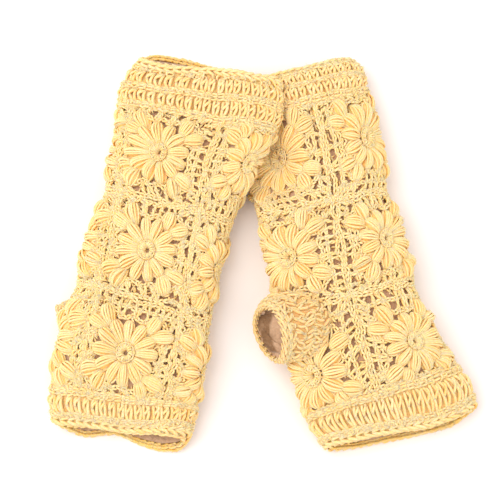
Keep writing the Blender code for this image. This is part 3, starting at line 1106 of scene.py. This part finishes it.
@dataclass
class Cuff:
    """A ribbed end of the glove: rows of tall stitches between ridges, with a thick chain rim."""

    rows: Pairs
    rim: float
    ridges: tuple[float, ...]
    outward: float
    reach: tuple[float, float]
    pitch: float = 5.0
    rim_height: float = 3.1

    def stitch(self, bag: YarnBag, form: GloveForm, rng: Rng) -> None:
        """Works the cuff round the glove into a bag of yarn.

        Args:
            bag: where its strands go.
            form: the glove's form.
            rng: random source.
        """
        round_mm = form.round_at(self.rim * MM) / MM
        work = Work(bag, Patch(form, 0.0, 0.0, 1.0 / round_mm), rng)
        self._ground(work, round_mm)
        for low, high in self.rows:
            n = int(round(round_mm / self.pitch))
            x = (np.arange(n) + rng.normal(0, 0.07, n)) * round_mm / n
            self._posts(work, x, low, high)
        ring = np.linspace(0, round_mm, 240, endpoint=False)
        for v in self.ridges:
            wave = 0.3 * np.sin(ring * 0.3 + rng.uniform(0, 6))
            for shift, height, size in ((-0.9, 3.3, 0.78), (0.9, 3.0, 0.74)):
                path = np.stack([ring, v + shift + wave, np.full(240, height)], -1)
                work.put(braid(path, 3.9, 0.8, 1.1, rng, closed=False), size)
            self._knots(work, round_mm, v, 1.5)
        wave = 0.3 * np.sin(ring * 0.17 + rng.uniform(0, 6))
        path = np.stack([ring, self.rim + wave, np.full(240, self.rim_height)], -1)
        work.put(braid(path, 4.9, 1.75, 1.1, rng, False, True), 1.0, 6)
        path = np.stack([ring[::-1], self.rim + self.outward * 0.7 + wave, np.full(240, 0.3)], -1)
        work.put(braid(path, 4.9, 1.0, 0.7, rng, False, True), 0.9, 6)
        self._knots(work, round_mm, self.rim - self.outward * 3.1, 0.6)

    @staticmethod
    def _knots(work: Work, round_mm: float, v: float, spread: float) -> None:
        """Short bent strands along a ridge, where the rows' stitches are worked together.

        Args:
            work: where they go.
            round_mm: length once round.
            v: the ridge's place along.
            spread: how far they scatter along the glove.
        """
        n, rng = int(round_mm / 1.5), work.rng
        at = np.stack([rng.uniform(0, round_mm, n), v + rng.normal(0, spread * 0.6, n)], -1)
        bits = knot_bits(at, rng)
        bits[..., 2] += 1.35
        work.put(bits, KNOT_YARN)

    def _ground(self, work: Work, round_mm: float) -> None:
        """The dense backs of the stitches, seen between them.

        Args:
            work: where they go.
            round_mm: length once round.
        """
        x, v = np.meshgrid(np.linspace(0, round_mm, 181), np.linspace(*self.reach, 18))
        h = 2.8 + 0.35 * np.sin(x * TURN / self.pitch) + work.rng.normal(0, 0.12, x.shape)
        h[:, -1] = h[:, 0]
        work.bag.sheet(work.patch.form, work.patch.lay(np.stack([x, v, h], -1)), 0.5, round_mm / 2.0)

    @staticmethod
    def _posts(work: Work, x: Array, low: float, high: float) -> None:
        """A row of tall stitches, each two bowed strands with a third laid slantwise over them.

        Args:
            work: where they go.
            x: their places across.
            low: where the row starts along.
            high: where it ends.
        """
        n, rng = len(x), work.rng
        t = np.linspace(0, 1, 9)[None]
        tall = high - low
        slant = (1.1 + rng.normal(0, 0.5, (n, 1))) * (t - 0.5)
        bell = np.sin(math.pi * t ** 0.8) ** 0.8
        for sign, rise in ((1, 4.5), (-1, 4.1)):
            w = x[:, None] + slant + sign * (0.3 + 1.1 * bell + rng.normal(0, 0.12, (n, 1)))
            h = 1.4 + (rise - 1.4) * np.sin(math.pi * t) ** 0.5 + rng.normal(0, 0.15, (n, 1))
            v = low + tall * t + rng.normal(0, 0.15, (n, 1))
            work.put(np.stack([w, v, h + 0 * w], -1), 0.98, 6)
        w = x[:, None] + slant + 1.6 * np.cos(math.pi * t)
        h = 2.9 + 2.4 * np.sin(math.pi * t) ** 0.6
        v = low + tall * (0.12 + 0.5 * t)
        work.put(np.stack([w, v + 0 * w, h + 0 * w], -1), 0.82, 6)


@dataclass
class Sleeve:
    """The thumb sleeve: rounds of short slanting stitches with a chain rim."""

    rounds: int = 5
    pitch: float = 4.8
    round_mm: float = 106.0
    shade: float = 0.45
    rim_shade: float = 0.8

    def stitch(self, bag: YarnBag, form: SleeveForm, rng: Rng) -> None:
        """Works the sleeve into a bag of yarn.

        Args:
            bag: where its strands go.
            form: the sleeve's form.
            rng: random source.
        """
        work = Work(bag, Patch(form, 0.0, 0.0, 1.0), rng)
        lift = LINING_OUT / MM - 2.6
        n = int(self.round_mm / self.pitch)
        u, v = np.meshgrid(np.linspace(0, 1, 101), np.linspace(-0.14, 1.0, 20))
        h = (lift + 0.8 + 0.2 * np.sin(u * TURN * n)) * MM
        bag.sheet(form, np.stack([u, v, h], -1), 0.15, self.round_mm / 2)
        for r in range(self.rounds):
            self._round(work, r, n, lift)
        rims = ((0.985, lift + 1.1, 1.7, 0.84, 4.6), (1.03, lift - 0.3, 0.8, 0.62, 4.4),
                (0.86, lift + 1.5, 1.0, 0.76, 4.2))
        for at, height, width, size, pitch in rims:
            ring = np.linspace(0, self.round_mm, 200, endpoint=False)
            path = np.stack([ring, np.zeros(200), np.full(200, height)], -1)
            links = braid(path, pitch, width, 1.1, rng, False, True)
            laid = np.stack([links[..., 0] / self.round_mm, at + links[..., 1] / 30.0, links[..., 2] * MM], -1)
            work.put_laid(laid, size, 6, self.rim_shade)

    def _round(self, work: Work, r: int, n: int, lift: float) -> None:
        """One round of paired slanting strands with knots at its foot.

        Args:
            work: where it goes.
            r: which round, from the foot.
            n: stitches in it.
            lift: height of its foot over the fleece in millimetres.
        """
        rng = work.rng
        low = -0.10 + r / self.rounds * 0.98
        tall = 1.25 / self.rounds
        x = (np.arange(n) + 0.5 * (r % 2) + rng.normal(0, 0.12, n)) / n
        t = np.linspace(0, 1, 8)[None]
        way = 1 if r % 2 else -1
        for sign in (1, -1):
            slant = way * 0.55 + rng.normal(0, 0.38, (n, 1))
            bow = (sign * (0.08 + 0.24 * np.sin(math.pi * t))
                   + rng.normal(0, 0.10, (n, 1)) * np.sin(TURN * t))
            w = x[:, None] + rng.normal(0, 0.08, (n, 1)) / n + (bow + slant * (t - 0.5)) / n
            h = lift + 0.8 + 1.3 * np.sin(math.pi * t) ** 0.6 + rng.normal(0, 0.3, (n, 1))
            along = low + tall * (0.9 + rng.normal(0, 0.1, (n, 1))) * t + rng.normal(0, 0.018, (n, 1))
            work.put_laid(np.stack([w, along + 0 * w, (h + 0 * w) * MM], -1), 0.86, 6, self.shade)
        places = np.stack([rng.uniform(0, 1, n) * self.round_mm, np.full(n, 0.0)], -1)
        bits = knot_bits(places, rng)
        laid = np.stack([bits[..., 0] / self.round_mm, low + 0.02 + bits[..., 1] / 32.0,
                         (bits[..., 2] + lift - 1.6) * MM], -1)
        work.put_laid(laid, KNOT_YARN, 6, self.shade)


def noise(tree: Tree, vector: Socket, size: float, detail: float) -> Socket:
    """A noise texture's value.

    Args:
        tree: the material's nodes.
        vector: places.
        size: its scale.
        detail: its detail.
    Returns:
        The value.
    """
    node = tree.nodes.new("ShaderNodeTexNoise")
    node.inputs["Scale"].default_value = size
    node.inputs["Detail"].default_value = detail
    tree.links.new(vector, node.inputs["Vector"])
    return node.outputs["Fac"]


def maths(tree: Tree, operation: str, a: Socket, b: Socket | float = 0.0) -> Socket:
    """One step of arithmetic on a value.

    Args:
        tree: the material's nodes.
        operation: what to do.
        a: the value.
        b: the other value or number.
    Returns:
        The result.
    """
    node = tree.nodes.new("ShaderNodeMath")
    node.operation = operation
    tree.links.new(a, node.inputs[0])
    if isinstance(b, float):
        node.inputs[1].default_value = b
    else:
        tree.links.new(b, node.inputs[1])
    return node.outputs[0]


def total(tree: Tree, parts: tuple[tuple[Socket, float], ...], start: float = 0.0) -> Socket:
    """The sum of values, each times its weight, and a starting number.

    Args:
        tree: the material's nodes.
        parts: values and weights.
        start: the number that they are added to.
    Returns:
        The sum.
    """
    whole = None
    for value, weight in parts:
        part = maths(tree, "MULTIPLY", value, weight)
        whole = part if whole is None else maths(tree, "ADD", whole, part)
    return maths(tree, "ADD", whole, start) if start else whole


def ripple(tree: Tree, turn: Socket) -> Socket:
    """A sine of a value, brought between 0 and 1."""
    return total(tree, ((maths(tree, "SINE", turn), 0.5),), 0.5)


@dataclass(frozen=True)
class Finish:
    """A soft matte finish: two colours mixed by a share, and a relief."""

    name: str
    light: Triple
    deep: Triple

    def _start(self, settings: dict[str, float | tuple[float, ...]]) -> tuple[Material, Tree, Socket, Socket]:
        """Starts the material.

        Args:
            settings: the shader's numbers that are the same all over.
        Returns:
            The material, its nodes, the tone stored on each vertex, and places.
        """
        material = bpy.data.materials.new(self.name)
        material.use_nodes = True
        tree = material.node_tree
        for socket, value in settings.items():
            tree.nodes["Principled BSDF"].inputs[socket].default_value = value
        tone = tree.nodes.new("ShaderNodeAttribute")
        tone.attribute_name = "tone"
        return material, tree, tone.outputs["Fac"], tree.nodes.new("ShaderNodeTexCoord").outputs["Object"]

    def _end(self, tree: Tree, share: Socket, relief: Socket, strength: float, depth: float, rough: Socket) -> None:
        """Joins the colours, the relief and the roughness to the shader.

        Args:
            tree: the material's nodes.
            share: 0 for the deep colour and 1 for the light one.
            relief: height of the surface.
            strength: how strongly the relief shows.
            depth: its depth in metres.
            rough: the roughness.
        """
        shader = tree.nodes["Principled BSDF"]
        colours = tree.nodes.new("ShaderNodeMix")
        colours.data_type = "RGBA"
        colours.inputs["A"].default_value = (*self.deep, 1)
        colours.inputs["B"].default_value = (*self.light, 1)
        tree.links.new(share, colours.inputs["Factor"])
        tree.links.new(colours.outputs["Result"], shader.inputs["Base Color"])
        bump = tree.nodes.new("ShaderNodeBump")
        bump.inputs["Strength"].default_value = strength
        bump.inputs["Distance"].default_value = depth
        tree.links.new(relief, bump.inputs["Height"])
        tree.links.new(bump.outputs["Normal"], shader.inputs["Normal"])
        tree.links.new(rough, shader.inputs["Roughness"])


@dataclass(frozen=True)
class WoolFinish(Finish):
    """Soft wool yarn: two shades mixed strand by strand, twisted plies, a fine nap, and painted shade under each
    strand.
    """

    ply_height: float = 0.35
    nap_height: float = 0.25

    def make(self) -> Material:
        """Builds the node material.

        Returns:
            The material.
        """
        material, tree, tone, place = self._start({
            "Sheen Weight": 0.08, "Sheen Roughness": 0.45, "Sheen Tint": (1.0, 0.94, 0.78, 1),
            "Specular IOR Level": 0.25, "Subsurface Weight": 0.5, "Subsurface Radius": (1.0, 0.65, 0.3),
            "Subsurface Scale": 0.0016})
        drift = noise(tree, place, 90.0, 3.0)
        nap = noise(tree, place, 2600.0, 4.0)
        marks = tree.nodes.new("ShaderNodeUVMap")
        marks.uv_map = "Yarn"
        split = tree.nodes.new("ShaderNodeSeparateXYZ")
        tree.links.new(marks.outputs["UV"], split.inputs["Vector"])
        along, turn = split.outputs["X"], split.outputs["Y"]
        # Painted light and shade: each strand's outer side is lighter and its underside darker, as if lit from
        # above; on the sheets this shading runs in stripes across their rows.
        painted_top_light = ripple(tree, maths(tree, "MULTIPLY", turn, TURN))
        plies = ripple(tree, total(tree, ((along, 2.4), (turn, 3 * TURN))))
        share = total(tree, ((tone, 0.5), (drift, 0.25), (plies, 0.13), (nap, 0.13), (painted_top_light, 0.55)), -0.24)
        relief = total(tree, ((plies, self.ply_height), (nap, self.nap_height)))
        self._end(tree, share, relief, 0.65, 0.0004, total(tree, ((nap, 0.2),), 0.72))
        return material


@dataclass(frozen=True)
class FleeceFinish(Finish):
    """Brushed fleece: matte, blotchy at two scales and softly pitted."""

    def make(self) -> Material:
        """Builds the node material.

        Returns:
            The material.
        """
        material, tree, tone, place = self._start({
            "Sheen Weight": 0.3, "Sheen Roughness": 0.6, "Specular IOR Level": 0.15})
        broad = noise(tree, place, 260.0, 4.0)
        fine = noise(tree, place, 850.0, 5.0)
        # The tone carries the painted shade of the linings' inner faces, set in Fleece.make.
        share = total(tree, ((broad, 0.7), (fine, 0.6), (tone, 0.9)), -0.65)
        relief = total(tree, ((broad, 0.6), (fine, 0.5)))
        self._end(tree, share, relief, 0.9, 0.0016, total(tree, ((fine, 0.15),), 0.82))
        return material


@dataclass
class Fleece:
    """A tube of brushed fleece with soft lumps and folds, closed over both its edges.

    The faces are depths under the form's outer face, and shade is how dark a painted shade band is on one side of
    the inner face, towards its far end.
    """

    low: float
    high: float
    outer: float
    inner: float
    around: int = 220
    rows: int = 150
    lumps: float = 0.45 * MM
    folds: float = 0.0
    shade: float = 0.0

    def make(self, name: str, form: Form, finish: Material, rng: Rng,
             skip: Oval | None = None) -> bpy.types.Object:
        """Builds the tube.

        Args:
            name: the object's name.
            form: the surface it lines.
            finish: its material.
            rng: random source.
            skip: an oval that is left open, as centre and radii.
        Returns:
            The object.
        """
        u, v = np.meshgrid(np.arange(self.around) / self.around, np.linspace(self.low, self.high, self.rows))
        lump = np.zeros_like(u)
        for _ in range(14):
            a, b = rng.integers(2, 22), rng.uniform(20, 260)
            span = MM if self.high > 1.5 else 1.0
            lump += np.sin(TURN * a * u + b * v / span * MM + rng.uniform(0, 6.3)) / math.sqrt(a)
        lump *= self.lumps / 3
        bend = 0.09 * np.sin(5.1 * (v - self.low) / (self.high - self.low))
        for at, wide, share in ((0.04, 0.045, 1.0), (0.36, 0.07, 0.7), (0.62, 0.05, 0.8), (0.83, 0.03, 0.45)):
            gap = (u - at - bend + 0.5) % 1.0 - 0.5
            lump += self.folds * share * np.exp(-((gap / wide) ** 2))
        end = np.minimum(v - self.low, self.high - v) / (self.high - self.low)
        thick = 0.3 + 0.7 * smooth(np.clip(end / 0.012, 0, 1))
        middle = (self.outer + self.inner) / 2
        top = form.lay(u, v, middle + (self.outer - middle) * thick + 0 * u)
        bottom = form.lay(u, v, middle + (self.inner - middle) * thick + lump)
        places = np.concatenate([top.reshape(-1, 3), bottom.reshape(-1, 3)])
        places[:, 2] = np.maximum(places[:, 2], 1.2 * MM)
        r, k = np.meshgrid(np.arange(self.rows - 1), np.arange(self.around), indexing="ij")
        k2 = (k + 1) % self.around
        a, b = r * self.around + k, r * self.around + k2
        keep = np.ones(r.shape, bool)
        if skip is not None:
            du = (u[r, k] - skip[0] + 0.5) % 1.0 - 0.5
            keep = (du / skip[2]) ** 2 + ((v[r, k] - skip[1]) / skip[3]) ** 2 > 0.7
        quads = np.stack([a, b, b + self.around, a + self.around], -1)
        deep = self.rows * self.around
        under = np.stack([deep + b, deep + a, deep + a + self.around, deep + b + self.around], -1)
        ring = np.arange(self.around)
        ring2 = (ring + 1) % self.around
        last = (self.rows - 1) * self.around
        lips = [np.stack([ring2, ring, deep + ring, deep + ring2], -1),
                np.stack([last + ring, last + ring2, deep + last + ring2, deep + last + ring], -1)]
        faces = np.concatenate([quads[keep], under[keep], *lips])
        # Painted shade: the inner face gets a dark band on one side towards its far end, scaled by shade. It is
        # also darker in the dips between its lumps and folds and lighter on their crests. The outer face keeps one
        # even, lighter tone.
        painted_inner_shade = self.shade * np.exp(-(((u - 0.72 + 0.5) % 1.0 - 0.5) / 0.2) ** 2)
        painted_inner_shade = painted_inner_shade * smooth((v - 0.52 - 0.9 * (u - 0.72)) / 0.12)
        tones = np.concatenate([0.85 + 0 * u.ravel(), (0.55 - painted_inner_shade + 0.1 * lump / self.lumps).ravel()])
        return make_mesh(name, places, faces, finish, tones=np.clip(tones, 0, 1))


@dataclass
class Glove:
    """One glove with its twelve squares, two cuffs, lining, thumb sleeve and thumb lining.

    Columns are the squares' edges in turns around, names are the squares' in the same order, and shifts are the
    flowers' centres that differ from their row's.
    """

    side: Side
    stations: tuple
    drape: Drape
    columns: tuple[float, ...]
    names: tuple[str, ...]
    thumb: ThumbSpec
    shifts: dict[tuple[str, int], tuple[float, float]]
    seed: int

    def __post_init__(self) -> None:
        """Works out the forms that the pieces are laid on, and the names of the glove's and the thumb's bodies."""
        self.form = GloveForm(self.side, self.stations, self.drape)
        self.sleeve = SleeveForm(self.form, self.thumb)
        self.body = f"{self.side.value}_glove"
        self.thumb_body = f"{self.side.value}_thumb"

    def hole(self) -> Oval:
        """The oval left open for the thumb, on the form.

        Returns:
            Its centre and radii.
        """
        ru, rv = (r * MM for r in self.thumb.radii)
        u = self.sleeve.u + math.floor(self.columns[0] + 1 - self.sleeve.u)
        return u, self.sleeve.v, (ru - 1.2 * MM) / self.sleeve.round, rv - 1.2 * MM

    def build(self, wool: Material, cuff_wool: Material, sleeve_wool: Material, fleece: Material) -> None:
        """Builds every piece, and puts the squares, cuffs and lining on the glove's body.

        Args:
            wool: the squares' finish.
            cuff_wool: the cuffs'.
            sleeve_wool: the thumb sleeve's.
            fleece: the linings'.
        """
        self._squares(wool)
        self._cuffs(cuff_wool)
        self._lining(fleece)
        self._sleeve(sleeve_wool, fleece)

    def _finish(self, thing: bpy.types.Object, node: str) -> None:
        """Puts a piece in place of its plain solid.

        Args:
            thing: the piece.
            node: the solid.
        """
        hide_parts(node)
        LOG.info("%s: %d faces", thing.name, len(thing.data.polygons))

    def _squares(self, wool: Material) -> None:
        """The twelve flower squares.

        Args:
            wool: their finish.
        """
        for row in range(3):
            for k, name in enumerate(self.names):
                square = FlowerSquare(centre=self.shifts.get((name, row), ROW_SHIFTS[row]))
                node = f"{self.side.value}_square_{name}_{row + 1}"
                seed = self.seed + 17 * row + k
                rng = np.random.default_rng(seed)
                u0, u1 = self.columns[k], self.columns[k + 1]
                patch = Patch(self.form, (u0 + u1) / 2, WRIST + (row + 0.5) * ROW,
                              (u1 - u0) / (2 * square.half), MM, rng.normal(0, 0.02))
                bag = YarnBag(seed)
                square.stitch(Work(bag, patch, rng, self.hole()))
                piece = bag.make(f"{node}_wool", wool)
                self._finish(piece, node)
                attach(piece, self.body)

    def _cuffs(self, wool: Material) -> None:
        """The wrist cuff and the finger cuff.

        Args:
            wool: their finish.
        """
        end = self.form.length / MM
        start = (WRIST + 3 * ROW) / MM
        wrist = Cuff(((5.0, 14.4), (17.2, 26.8)), 1.7, (15.8, 28.0), -1.0, (0.6, 27.9))
        if self.side is Side.RIGHT:
            wrist = Cuff(((2.6, 12.6), (15.0, 26.0)), 0.9, (13.8, 27.6), -1.0, (0.6, 27.9), rim_height=1.2)
        cuffs = {
            "wrist_cuff": wrist,
            "finger_cuff": Cuff(((start + 2.2, end - 5.4),), end - 1.8, (start + 0.9, end - 5.0), 1.0,
                                (start + 0.2, end - 0.6)),
        }
        for part, cuff in cuffs.items():
            node = f"{self.side.value}_{part}"
            bag = YarnBag(self.seed + len(part))
            cuff.stitch(bag, self.form, np.random.default_rng(self.seed + len(part)))
            piece = bag.make(f"{node}_wool", wool)
            self._finish(piece, node)
            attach(piece, self.body)

    def _lining(self, fleece: Material) -> None:
        """The fleece lining of the hand.

        Args:
            fleece: its finish.
        """
        node = f"{self.side.value}_hand_lining"
        tube = Fleece(2.5 * MM, self.form.length - 2.2 * MM, LINING_OUT, LINING_IN)
        piece = tube.make(f"{node}_fleece", self.form, fleece, np.random.default_rng(self.seed + 90), self.hole())
        self._finish(piece, node)
        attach(piece, self.body)

    def _sleeve(self, wool: Material, fleece: Material) -> None:
        """The thumb sleeve and its lining.

        Args:
            wool: the sleeve's finish.
            fleece: the lining's finish.
        """
        node = f"{self.side.value}_thumb_sleeve"
        bag = YarnBag(self.seed + 50)
        Sleeve().stitch(bag, self.sleeve, np.random.default_rng(self.seed + 50))
        piece = bag.make(f"{node}_wool", wool)
        self._finish(piece, node)
        self._bend(piece)
        node = f"{self.side.value}_thumb_lining"
        # shade sets how dark the painted shade band inside the thumb lining is.
        tube = Fleece(-0.1, 0.98, 2.6 * MM, 3.7 * MM, around=140, rows=70, lumps=0.9 * MM, folds=3.6 * MM,
                      shade=0.8)
        piece = tube.make(f"{node}_fleece", self.sleeve, fleece, np.random.default_rng(self.seed + 70))
        self._finish(piece, node)
        self._bend(piece)

    def _bend(self, piece: bpy.types.Object) -> None:
        """Bakes the place of a piece of the thumb sleeve into its mesh.

        Args:
            piece: the sleeve or its lining.
        """
        a = np.linspace(0, 1, 16, endpoint=False)
        foot = self.sleeve.lay(a, np.full(16, 0.0), np.zeros(16)).mean(axis=0)
        head = self.sleeve.lay(a, np.full(16, 0.55), np.zeros(16)).mean(axis=0)
        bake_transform(piece)


@dataclass(frozen=True)
class Lamp:
    """A soft square lamp that shines at the middle of the floor."""

    name: str
    place: Triple
    size: float
    power: float
    colour: Triple = (1.0, 0.97, 0.93)

    def build(self) -> None:
        """Hangs the lamp."""
        lamp = bpy.data.lights.new(self.name, "AREA")
        lamp.size = self.size
        lamp.energy = self.power
        lamp.color = self.colour
        thing = bpy.data.objects.new(self.name, lamp)
        thing.location = self.place
        thing.rotation_euler = (-Vector(self.place)).to_track_quat("-Z", "Y").to_euler()
        bpy.context.scene.collection.objects.link(thing)


@dataclass(frozen=True)
class Studio:
    """A pale floor, soft light and the camera, in metres and degrees."""

    floor_size: float = 6.0
    floor_colour: Triple = (0.93, 0.91, 0.92)
    air_colour: Triple = (1.0, 0.965, 0.945)
    air_strength: float = 0.93
    lamps: tuple[Lamp, ...] = (Lamp("key", (-0.7, 0.1, 1.3), 1.3, 13.0), Lamp("fill", (0.9, -0.7, 1.2), 1.4, 4.0))
    camera_height: float = 76.0
    camera_distance: float = 1.0
    aim_height: float = 14.0 * MM
    view_width: float = 0.29

    def build(self) -> None:
        """Sets everything up."""
        self._floor()
        scene = bpy.context.scene
        world = bpy.data.worlds.new("soft_room")
        scene.world = world
        world.use_nodes = True
        back = world.node_tree.nodes["Background"]
        back.inputs["Color"].default_value = (*self.air_colour, 1)
        back.inputs["Strength"].default_value = self.air_strength
        for lamp in self.lamps:
            lamp.build()
        scene.view_settings.view_transform = "Standard"
        self._camera()

    def _floor(self) -> None:
        """The floor."""
        bpy.ops.mesh.primitive_plane_add(size=self.floor_size, location=(0, 0, 0))
        floor = bpy.context.object
        floor.name = "floor"
        material = bpy.data.materials.new("pale_floor")
        material.use_nodes = True
        shader = material.node_tree.nodes["Principled BSDF"]
        shader.inputs["Base Color"].default_value = (*self.floor_colour, 1)
        shader.inputs["Roughness"].default_value = 0.9
        floor.data.materials.append(material)

    def _camera(self) -> None:
        """The camera, looking down on the gloves from their finger ends."""
        camera = bpy.data.cameras.new("camera")
        camera.sensor_width = 36.0
        camera.lens = camera.sensor_width / self.view_width
        thing = bpy.data.objects.new("camera", camera)
        tilt = math.radians(self.camera_height)
        target = np.array([0.0, 0.0, self.aim_height]) + SHIFT
        thing.location = target + np.array([0.0, -math.cos(tilt), math.sin(tilt)]) * self.camera_distance
        thing.rotation_euler = (math.radians(90.0 - self.camera_height), 0.0, 0.0)
        bpy.context.scene.collection.objects.link(thing)
        bpy.context.scene.camera = thing


def main() -> None:
    """Builds the stage and both gloves."""
    logging.basicConfig(level=logging.INFO, format="%(message)s")
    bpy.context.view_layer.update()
    Studio().build()
    wool = WoolFinish("cream_wool", (1.0, 0.765, 0.42), (1.0, 0.55, 0.12)).make()
    cuff_wool = WoolFinish("cream_wool_cuff", (1.0, 0.755, 0.42), (1.0, 0.545, 0.12)).make()
    sleeve_wool = WoolFinish("cream_wool_sleeve", (0.92, 0.67, 0.35), (0.82, 0.45, 0.14)).make()
    fleece = FleeceFinish("taupe_fleece", (0.81, 0.53, 0.335), (0.26, 0.137, 0.06)).make()
    right = Glove(Side.RIGHT, RIGHT_STATIONS, RIGHT_DRAPE, (0.0, 0.262, 0.5, 0.738, 1.0),
                  ("palm_right", "back_right", "back_left", "palm_left"), RIGHT_THUMB, RIGHT_SHIFTS, 100)
    right.build(wool, cuff_wool, sleeve_wool, fleece)
    left = Glove(Side.LEFT, LEFT_STATIONS, LEFT_DRAPE, (-0.131, 0.131, 0.377, 0.623, 0.869),
                 ("back_middle", "thumbless_side", "palm_middle", "thumb_side"), LEFT_THUMB, LEFT_SHIFTS, 500)
    left.build(wool, cuff_wool, sleeve_wool, fleece)


if __name__ == "__main__":
    main()
